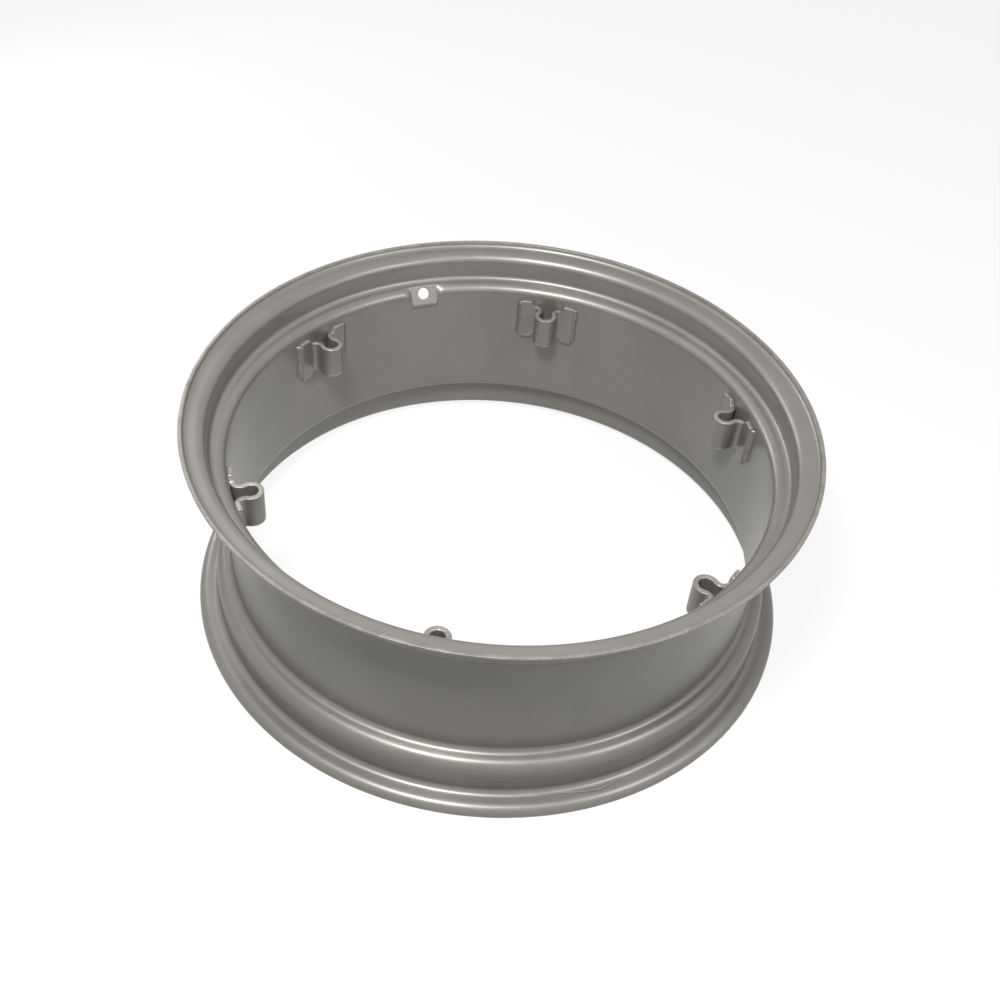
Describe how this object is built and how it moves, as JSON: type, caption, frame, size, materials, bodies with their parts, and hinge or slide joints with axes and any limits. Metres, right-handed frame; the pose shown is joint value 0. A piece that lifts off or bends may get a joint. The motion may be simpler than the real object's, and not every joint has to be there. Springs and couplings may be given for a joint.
{
  "type": "tractor wheel rim",
  "caption": "Steel rim for a rear tractor tyre: rolled edge flanges, a drop centre, a valve hole in a pressed flat and strap bolt loops welded round the inside.",
  "frame": {"origin": "centre of the rim, on its axis and halfway between its two rolled edges", "axes": "+Z along the wheel axis towards the edge that the bolt loops and the valve hole are nearer to; the picture looks along +Y from above, and the first bolt loop is 22.1 degrees from +X towards +Y"},
  "size_m": [0.762, 0.7618, 0.278],
  "materials": {
    "rim_paint": "semi-gloss silver grey paint on rolled steel",
    "loop_paint": "semi-gloss silver grey paint on flat bar",
    "weld_paint": "silver grey paint over rippled weld beads"
  },
  "bodies": {
    "root": {"rim": "rim_paint", "loop_1": "loop_paint", "loop_1_weld_left": "weld_paint", "loop_1_weld_right": "weld_paint", "loop_2": "loop_paint", "loop_2_weld_left": "weld_paint", "loop_2_weld_right": "weld_paint", "loop_3": "loop_paint", "loop_3_weld_left": "weld_paint", "loop_3_weld_right": "weld_paint", "loop_4": "loop_paint", "loop_4_weld_left": "weld_paint", "loop_4_weld_right": "weld_paint", "loop_5": "loop_paint", "loop_5_weld_left": "weld_paint", "loop_5_weld_right": "weld_paint", "loop_6": "loop_paint", "loop_6_weld_left": "weld_paint", "loop_6_weld_right": "weld_paint"}
  },
  "joints": []
}
